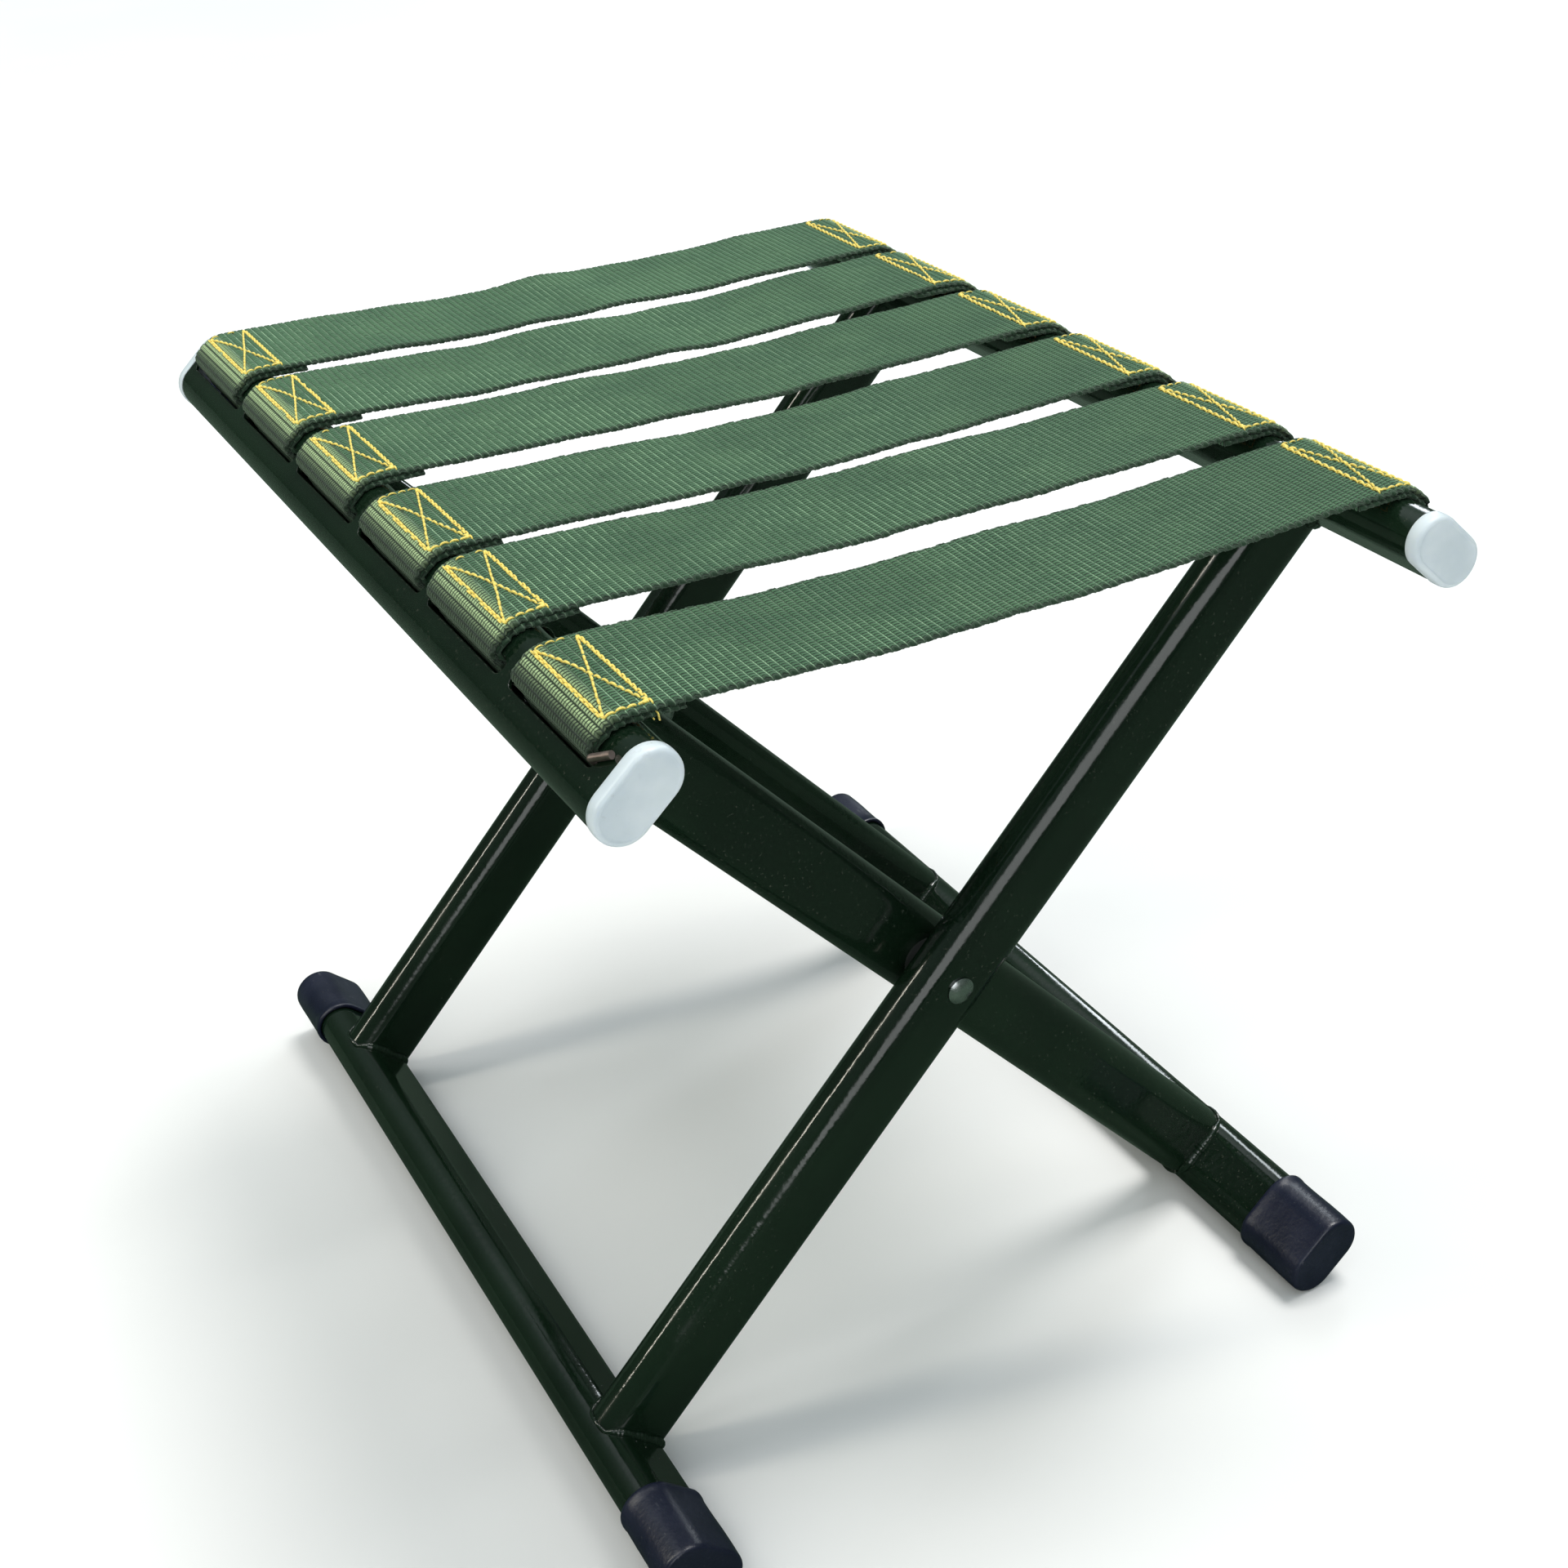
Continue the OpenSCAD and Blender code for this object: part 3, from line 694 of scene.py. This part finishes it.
def make_strap(i):
    s = strap_stations()
    step = YARN / 2
    y = np.r_[-25.0, -24.85, -24.4, np.arange(-33, 34) * step, 24.4, 24.85, 25.0]
    S, Y = np.meshgrid(s, y, indexing="ij")
    x, z, normal_x, normal_z = on_path(s)

    # raised ribs, with yarns alternately over and under
    rib_index = np.floor(S / RIB_PITCH + 1e-6)
    u = (S / RIB_PITCH - rib_index) * 2 - 1
    rib = np.sqrt(np.clip(1 - u * u, 0, 1))
    parity = np.where(np.mod(np.round(Y / step) + rib_index, 2) < 1, 1.0, -1.0)
    jitter = RNG.normal(0, 0.03, (S.shape[0] // 4 + 1, S.shape[1] // 2 + 1))
    jitter = np.repeat(np.repeat(jitter, 4, 0), 2, 1)[: S.shape[0], : S.shape[1]]
    rim = np.clip((np.abs(Y) - 23.6) / 1.4, 0, 1)
    edge = np.sqrt(np.clip(1 - rim * rim, 0, 1))
    relief = (0.40 * rib - 0.26 + 0.24 * parity * rib ** 0.5 + jitter * rib)
    relief = relief * (0.35 + 0.65 * edge)
    half = (STRAP_T / 2 - 0.12) * (0.16 + 0.84 * edge)

    # the weft turns back round the edge warp, which gives small knuckles
    ragged = RNG.normal(0, 0.17, (2, 400))[(Y > 0).astype(int), (rib_index + 200).astype(int)]
    knuckle = ((0.60 * np.cos(np.pi * u) * -1 + np.clip(ragged, -0.3, 0.3))
               * np.clip((np.abs(Y) - 22.5) / 2.5, 0, 1))
    world_y = Y + np.sign(Y) * knuckle + strap_y(i) + creep(i, s)[:, None]

    # sag only where the strap is free; the tail follows the layer above it
    free = (np.abs(s) <= S_TANGENT + 1) | (np.abs(s) > HALF - TAIL)
    drop = sag(i, x[:, None] + 0 * Y, Y) * free[:, None]
    layers = []
    for sign in (1, -1):
        h = sign * (half + relief)
        layers.append(np.stack([x[:, None] + normal_x[:, None] * h, world_y,
                                z[:, None] + normal_z[:, None] * h + drop], -1))
    top, bottom = layers
    verts = np.concatenate([top, bottom[:, ::-1]], 1).reshape(-1, 3)
    strap = mesh_object(f"strap_{i}", verts, strap_faces(*S.shape))

    # weave: along, across, and a different third value on each strap
    ring_s = np.repeat(s[:, None], 2 * len(y), 1)
    ring_y = np.concatenate([Y, Y[:, ::-1]], 1)
    weave = np.stack([ring_s * MM, ring_y * MM, np.full_like(ring_y, i * 10.0) * MM], -1)
    attribute = strap.data.attributes.new("weave", "FLOAT_VECTOR", "POINT")
    attribute.data.foreach_set("vector", weave.reshape(-1, 3).astype(np.float32).ravel())
    set_material(strap, WEB)
    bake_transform(strap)
    weights = fold_weights(i, verts[:, 0], verts[:, 2], ring_s.reshape(-1))
    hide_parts(f"seat_strap_{i}")


for i in range(1, 7):
    make_strap(i)

# ---------------------------------------------------------------- stitching
STITCH_PITCH, STITCH_GAP = 3.1, 0.42
BOX_OVER_RAIL = 5.0       # box edge beyond the rail's top tangent
BOX_ON_SPAN = 7.6         # box edge on the span, inside the tangent
BOX_HALF_Y = 22.4


def strap_face(i, s, y, height, under):
    """Points height above the strap's upper face, or below the tail layer under it."""
    x, z, normal_x, normal_z = on_path(s)
    if under:
        d = -(STRAP_T * 1.5 + 0.02 + height)
    else:
        d = STRAP_T / 2 + 0.02 + height
    return np.stack([x + normal_x * d, strap_y(i) + creep(i, s) + y,
                     z + normal_z * d + sag(i, x, y)], -1)


def stitch(shells, i, start, end, under=False, radius=0.42, rise=0.36):
    """One arched stitch between two (s, y) points, its ends sunk in the webbing."""
    t = np.linspace(0, 1, 7)
    jitter = RNG.normal(0, 0.05, 4)
    (s0, y0), (s1, y1) = start + jitter[:2], end + jitter[2:]
    height = -0.3 + (rise + 0.3) * np.sin(np.pi * t) ** 0.55
    path = strap_face(i, s0 + (s1 - s0) * t, y0 + (y1 - y0) * t, height, under)
    radii = radius * (0.72 + 0.28 * np.sin(np.pi * t) ** 0.5) * (1 + RNG.normal(0, 0.04))
    shells.add(*ring_mesh(tube_rings(path, radii, sides=6)))


def stitch_run(shells, i, start, end, phase=0.0, skip=0.0, **shape):
    """A row of stitches; phase shifts it by part of a stitch, skip is the share left out."""
    n = max(1, int(round(np.linalg.norm(end - start) / STITCH_PITCH)))
    for k in range(n):
        if skip and RNG.random() < skip:
            continue
        a = (k + phase + STITCH_GAP / STITCH_PITCH / 2) / n
        b = (k + phase + 1 - STITCH_GAP / STITCH_PITCH / 2) / n
        if b > 1.03:
            continue
        stitch(shells, i, start + (end - start) * a, start + (end - start) * b, **shape)


def make_stitches(i, side, tag):
    """One X-box through both layers: side -1 at the inner rail, 1 at the outer rail."""
    rail_s = side * (S_TANGENT + BOX_OVER_RAIL)
    span_s = side * (S_TANGENT - BOX_ON_SPAN)
    rail_front, rail_rear, span_front, span_rear = (
        np.array((s, y)) for s in (rail_s, span_s) for y in (-BOX_HALF_Y, BOX_HALF_Y))
    rail_shift, span_shift = np.array((side * 0.55, 0)), np.array((side * 0.6, 0))
    top, under = Shells(), Shells()
    for start, end, options in (
        (rail_front, rail_rear, {}),
        (rail_front + rail_shift, rail_rear + rail_shift, dict(phase=0.35, skip=0.1, radius=0.33)),
        (span_rear, span_front, {}),
        (span_rear - span_shift, span_front - span_shift, dict(phase=0.4, skip=0.08, radius=0.33)),
        (rail_front, span_front, {}),
        (rail_rear, span_rear, dict(skip=0.25, radius=0.27)),
        (rail_front, span_rear, {}),
        (span_front, rail_rear, {}),
    ):
        stitch_run(top, i, start, end, **options)
    for start, end in ((span_rear, span_front), (rail_front, span_rear), (span_front, rail_rear),
                       (rail_front, span_front), (rail_rear, span_rear)):
        stitch_run(under, i, start, end, under=True, radius=0.24, rise=0.2)
    # lock knots at the front corner on the span
    for k in range(3):
        stitch(top, i, np.array((span_s - side * 0.2, -BOX_HALF_Y + 0.3 * k)),
               np.array((span_s + side * 1.4, -BOX_HALF_Y + 0.5 * k)), radius=0.26)
    for shells, kind, material in ((top, "stitches", THREAD), (under, "bobbin", BOBBIN)):
        obj = mesh_object(f"{kind}_{tag}_{i}", shells.verts(), shells.faces)
        finish(obj, material, "stitch_thread", rides=f"{tag}_frame")


def loose_thread():
    """Two cut ends hanging at the front corner of strap 6's box by the inner rail."""
    x, y, z = -122.9, strap_y(6) + CREEP_INNER[5] - 23.0, SPAN_Z - 1.2
    t = np.linspace(0, 1, 26)
    long_end = np.stack([x + 1.9 * t + 0.4 * np.sin(5 * t),
                         y - 1.9 * np.sin(2.2 * t) - 0.4 * t,
                         z - 2.5 * t ** 1.5 + 0.5 * np.sin(3 * t)], -1)
    short_end = np.stack([x - 1.5 + 1.4 * t, y - 2.2 * t, z - 1.8 * t ** 2], -1)
    shells = Shells()
    for path, radius in ((long_end, 0.30), (short_end, 0.22)):
        shells.add(*ring_mesh(tube_rings(path, radius, sides=8)))
    obj = mesh_object("thread_end", shells.verts(), shells.faces)
    finish(obj, THREAD, "stitch_thread", rides="inner_frame")


for i in range(1, 7):
    make_stitches(i, -1, "inner")
    make_stitches(i, 1, "outer")
loose_thread()

# ---------------------------------------------------------------- rail plugs and foot caps
# both profiles: inset from the outline, distance beyond the tube's end
PLUG_PROFILE = [
    (0.55, 0.06), (0.15, 0.12), (0.0, 0.4), (-0.05, 2.0), (0.0, 3.2), (0.12, 4.0),
    (0.4, 4.6), (0.85, 4.95), (1.35, 5.1), (1.6, 5.12), (1.75, 5.04), (1.9, 5.0),
    (2.6, 5.04), (3.8, 5.14), (5.4, 5.24), (7.0, 5.3), (8.4, 5.33),
]
CAP_PROFILE = [
    (1.52, 0.0), (1.52, -26.0), (1.30, -26.8), (0.9, -27.15), (0.25, -27.1), (-0.12, -26.7),
    (-0.22, -26.0), (-0.2, -25.0), (0.02, -24.3), (0.06, -22.0), (0.0, -16.0), (-0.08, -9.0),
    (-0.1, -3.0), (-0.04, 0.0), (0.0, 1.5), (0.05, 2.2), (0.2, 2.78), (0.5, 3.18),
    (0.95, 3.4), (1.6, 3.46), (2.4, 3.42), (5.0, 3.36), (7.5, 3.32), (9.6, 3.3),
]
PLUG_OVERSIZE, CAP_OVERSIZE = 0.7, 3.2


def plug_rings(end):
    """Rounded flange with a faintly domed face; end is the sign of the frame's own Y."""
    for inset, out in PLUG_PROFILE:
        q = stadium(TUBE_W + PLUG_OVERSIZE, TUBE_T + PLUG_OVERSIZE, inset)
        y = np.full(len(q), end * (RAIL_LENGTH / 2 + out))
        yield np.stack([q[:, 0], y, q[:, 1] + PIVOT_TO_RAIL], -1)


def cap_rings(end):
    """Slip-on cap: thick rim, slight uneven bulge, rounded closed end."""
    for inset, out in CAP_PROFILE:
        q = stadium(TUBE_W + CAP_OVERSIZE, TUBE_T + CAP_OVERSIZE, inset)
        y = np.full(len(q), end * (FOOT_LENGTH / 2 + out) + FOOT_SHIFT)
        wobble = 0.05 * np.sin(np.arange(len(q)) * 2 * np.pi / len(q) * 3 + out * 0.35)
        yield np.stack([q[:, 0] * (1 + wobble / 20), y,
                        q[:, 1] * (1 + wobble / 12) - PIVOT_TO_FOOT], -1)


for kind, rings, material, slot in (("plug", plug_rings, PLUG, "plug_plastic"),
                                    ("cap", cap_rings, RUBBER, "cap_rubber")):
    for tag, side in (("inner", 1), ("outer", -1)):
        for place, world_end in (("front", -1), ("rear", 1)):
            end = side * world_end
            verts, faces = ring_mesh(list(rings(end)))
            if end > 0:
                faces = [face[::-1] for face in faces]
            node = f"{tag}_{kind}_{place}"
            obj = mesh_object("shell_" + node, local_to_world(verts, side), faces)
            finish(obj, material, slot, rides=f"{tag}_frame", replaces=node)


# ---------------------------------------------------------------- welds
def bead(shells, leg_y, top):
    """Rippled fillet round one leg end, following the bar's rounded sides."""
    q = stadium(TUBE_W + 0.5, TUBE_T + 0.5, n=40)
    loop = np.vstack([q, q[:1]])
    lengths = np.r_[0, np.cumsum(np.linalg.norm(np.diff(loop, axis=0), axis=1))]
    total = lengths[-1]
    t = np.linspace(0, total, 221)[:-1]
    x, y = np.interp(t, lengths, loop[:, 0]), np.interp(t, lengths, loop[:, 1])
    over_round = np.clip(np.abs(x) - FLAT, 0, TUBE_T / 2)
    drop = TUBE_T / 2 - np.sqrt(np.clip((TUBE_T / 2) ** 2 - over_round * over_round, 0, None))
    z = TUBE_T / 2 - np.minimum(drop, 3.4) + 0.1
    ripple = (t / (total / round(total / 1.7))) % 1.0      # about 1.7 mm a ripple
    fade = np.clip((13.4 - np.abs(x)) / 4.5, 0, 1)         # thinner at the leg's narrow sides
    radius = (0.55 + 1.0 * fade * fade * (3 - 2 * fade)) * (
        1 + 0.15 * np.sin(np.pi * ripple) ** 0.6
        + 0.16 * np.sin(2 * np.pi * t / total * 3 + leg_y)
        + 0.05 * np.sin(2 * np.pi * t / total * 7 + 2 * leg_y))
    # fuller lumps where the weld starts and stops on each flat side
    radius = (radius + 0.6 * np.exp(-(((x - 1.5) / 2.6) ** 2))
              + 0.3 * np.exp(-(((x + 6.0) / 1.8) ** 2)))
    frame_z = (PIVOT_TO_RAIL - z) if top else (-PIVOT_TO_FOOT + z)
    path = np.stack([x, leg_y + y, frame_z], -1)
    # one extra point at each end keeps the tangents right across the join
    path = np.vstack([path[-1:], path, path[:1]])
    rings = tube_rings(path, np.r_[radius[-1], radius, radius[0]], sides=12)[1:-1]
    shells.add(*ring_mesh(rings, closed=True))


def spatter(shells, leg_y):
    """One small bead of spatter near a joint."""
    sign = RNG.choice([-1, 1])
    top = RNG.random() < 0.5
    x = RNG.uniform(-5.5, 5.5)
    y = sign * (leg_y + RNG.choice([-1, 1]) * RNG.uniform(11.5, 20))
    z = PIVOT_TO_RAIL - TUBE_T / 2 if top else -PIVOT_TO_FOOT + TUBE_T / 2
    r = RNG.uniform(0.18, 0.42)
    around = np.linspace(0, 2 * np.pi, 9)[:-1]
    shells.add(*ring_mesh([
        np.stack([x + r * np.sin(a) * np.cos(around), y + r * np.sin(a) * np.sin(around),
                  np.full(8, z + 0.6 * r * np.cos(a))], -1)
        for a in np.linspace(0.12, np.pi - 0.12, 5)]))


for side, tag in ((1, "inner"), (-1, "outer")):
    shells = Shells()
    for sign in (-1, 1):
        bead(shells, sign * LEG_Y[tag], top=True)
        bead(shells, sign * LEG_Y[tag], top=False)
    for _ in range(26):
        spatter(shells, LEG_Y[tag])
    obj = mesh_object(f"welds_{tag}", local_to_world(shells.verts(), side), shells.faces)
    finish(obj, WELD, "weld_paint", rides=f"{tag}_frame", replaces=f"{tag}_weld_beads")

# consistent outward normals on the small pieces
SMALL_PIECES = ("stitches", "bobbin", "thread", "shell", "welds")
for obj in list(bpy.context.scene.objects):
    if obj.type == "MESH" and obj.name.startswith(SMALL_PIECES):
        bm = bmesh.new()
        bm.from_mesh(obj.data)
        bmesh.ops.recalc_face_normals(bm, faces=bm.faces)
        bm.to_mesh(obj.data)
        bm.free()


# ---------------------------------------------------------------- floor
def floor_material():
    """Pale floor; glossy rays see it dark green, a painted reflection of dark surroundings, and it
    is clear from below.
    """
    m = Material("floor_pale")
    tone = m.noise(m.position(), scale=3)
    pale = m.two_tone(tone, deep=(0.86, 0.86, 0.86), pale=(0.89, 0.89, 0.885))
    glossy = m.node("ShaderNodeLightPath").outputs["Is Glossy Ray"]
    # painted reflection: glossy rays see the floor dark green
    m.surface(Base_Color=m.mix(glossy, pale, over=(0.058, 0.088, 0.064)),
              Roughness=0.8, Specular_IOR_Level=0.1)
    two_sided = m.node("ShaderNodeMixShader")
    m.put(two_sided.inputs[0], m.node("ShaderNodeNewGeometry").outputs["Backfacing"])
    m.put(two_sided.inputs[1], m.shader.outputs[0])
    m.put(two_sided.inputs[2], m.node("ShaderNodeBsdfTransparent").outputs[0])
    m.put(m.output.inputs[0], two_sided.outputs[0])
    return m.material


FLOOR_HALF, FLOOR_Z = 9000, -0.3
floor_corners = [(x * FLOOR_HALF, y * FLOOR_HALF, FLOOR_Z)
                 for x, y in ((-1, -1), (1, -1), (1, 1), (-1, 1))]
floor = mesh_object("floor", floor_corners, [[0, 1, 2, 3]], smooth=False)
set_material(floor, floor_material())

# ---------------------------------------------------------------- world
# sky by the direction's Z: position, colour
SKY = [(0.0, (0.035, 0.055, 0.04, 1)), (0.42, (0.085, 0.11, 0.095, 1)),
       (0.66, (0.20, 0.26, 0.24, 1)), (0.9, (1.0, 1.06, 1.12, 1))]
BACKDROP = (0.97, 0.97, 0.97, 1.0)


def make_world():
    """Pale backdrop to the camera; bright overhead sky over a dim horizon for all else."""
    world = bpy.data.worlds.new("studio")
    bpy.context.scene.world = world
    world.use_nodes = True
    nodes, link = world.node_tree.nodes, world.node_tree.links.new
    nodes.clear()
    output = nodes.new("ShaderNodeOutputWorld")
    sky = nodes.new("ShaderNodeBackground")
    backdrop = nodes.new("ShaderNodeBackground")
    rays = nodes.new("ShaderNodeLightPath")
    mix = nodes.new("ShaderNodeMixShader")
    coords = nodes.new("ShaderNodeTexCoord")
    split = nodes.new("ShaderNodeSeparateXYZ")
    ramp = nodes.new("ShaderNodeValToRGB")
    link(coords.outputs["Generated"], split.inputs[0])
    link(split.outputs[2], ramp.inputs[0])
    elements = ramp.color_ramp.elements
    for i, (position, colour) in enumerate(SKY):
        element = elements[i] if i < 2 else elements.new(position)
        element.position = position
        element.color = colour
    link(ramp.outputs[0], sky.inputs[0])
    sky.inputs[1].default_value = 1.0
    backdrop.inputs[0].default_value = BACKDROP
    backdrop.inputs[1].default_value = 1.0
    link(rays.outputs["Is Camera Ray"], mix.inputs[0])
    link(sky.outputs[0], mix.inputs[1])
    link(backdrop.outputs[0], mix.inputs[2])
    link(mix.outputs[0], output.inputs[0])


make_world()
bpy.context.scene.view_settings.view_transform = "Standard"


# ---------------------------------------------------------------- lights
def add_light(name, kind, aim, location=(0, 0, 0), **settings):
    """A light that shines along aim."""
    data = bpy.data.lights.new(name, kind)
    for key, value in settings.items():
        setattr(data, key, value)
    light = bpy.data.objects.new(name, data)
    bpy.context.scene.collection.objects.link(light)
    light.location = location
    light.rotation_euler = aim.to_track_quat("-Z", "Y").to_euler()


def add_sun(name, towards, **settings):
    add_light(name, "SUN", -Vector(towards), **settings)


def add_strip(name, location, **settings):
    target = Vector((0, 0, 0.2))
    add_light(name, "AREA", target - Vector(location), location, shape="RECTANGLE", **settings)


add_sun("key", towards=(0.35, 0.1, 1.0), energy=1.75, angle=math.radians(22),
        color=(1.0, 0.985, 0.95))
add_sun("front", towards=(-0.45, -1.0, 0.55), energy=0.80, angle=math.radians(40),
        color=(0.97, 0.99, 1.0))
add_strip("strip_left", location=(-1.3, 0.4, 1.3), size=0.07, size_y=1.6, energy=9,
          color=(1.0, 0.95, 0.82))
add_strip("strip_back", location=(1.6, 1.3, 1.2), size=0.2, size_y=1.8, energy=9,
          color=(0.88, 0.95, 1.0))

# ---------------------------------------------------------------- camera
CAMERA_PLACE = Vector((-0.32286, -0.62020, 0.58175))
CAMERA_RIGHT = Vector((0.8753862, -0.4821651, -0.0348688))
CAMERA_UP = Vector((0.2647998, 0.4179057, 0.8690431))
CAMERA_FORWARD = Vector((0.4044504, 0.7699816, -0.4935060))

lens = bpy.data.cameras.new("camera")
camera = bpy.data.objects.new("camera", lens)
bpy.context.scene.collection.objects.link(camera)
bpy.context.scene.camera = camera
lens.sensor_fit = "HORIZONTAL"
lens.sensor_width = 36.0
lens.lens = 49.8680625
lens.shift_x = 0.0076197917
lens.shift_y = -0.021666667
lens.clip_start, lens.clip_end = 0.01, 50
turn = Matrix((CAMERA_RIGHT, CAMERA_UP, -CAMERA_FORWARD)).transposed().to_4x4()
camera.matrix_world = Matrix.Translation(CAMERA_PLACE) @ turn

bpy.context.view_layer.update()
